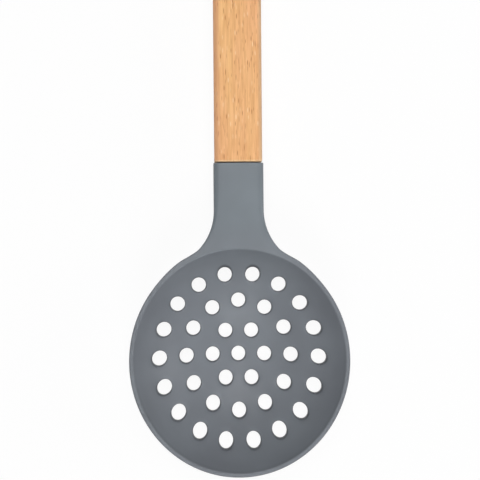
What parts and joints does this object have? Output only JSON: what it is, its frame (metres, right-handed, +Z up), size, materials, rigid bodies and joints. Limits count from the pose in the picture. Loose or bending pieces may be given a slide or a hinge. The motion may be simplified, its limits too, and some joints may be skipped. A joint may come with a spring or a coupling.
{
  "type": "skimmer",
  "caption": "Kitchen skimmer: a dished oval silicone head with rings of drain holes, flaring through a flat neck into a straight beech handle with a hanging hole.",
  "frame": {"origin": "on the table, under the middle of the skimmer's box as it lies with the dish open upwards", "axes": "+Y along the handle away from the head, +Z up out of the dish, +X across the head"},
  "size_m": [0.11, 0.346, 0.0353],
  "materials": {
    "beech": "fine sanded and oiled, matte",
    "silicone": "matte moulded silicone",
    "nylon": "as moulded",
    "glue": "cured"
  },
  "bodies": {
    "root": {"wood_handle": "beech", "head_core": "nylon", "silicone_head": "silicone", "tang_glue": "glue"}
  },
  "joints": []
}
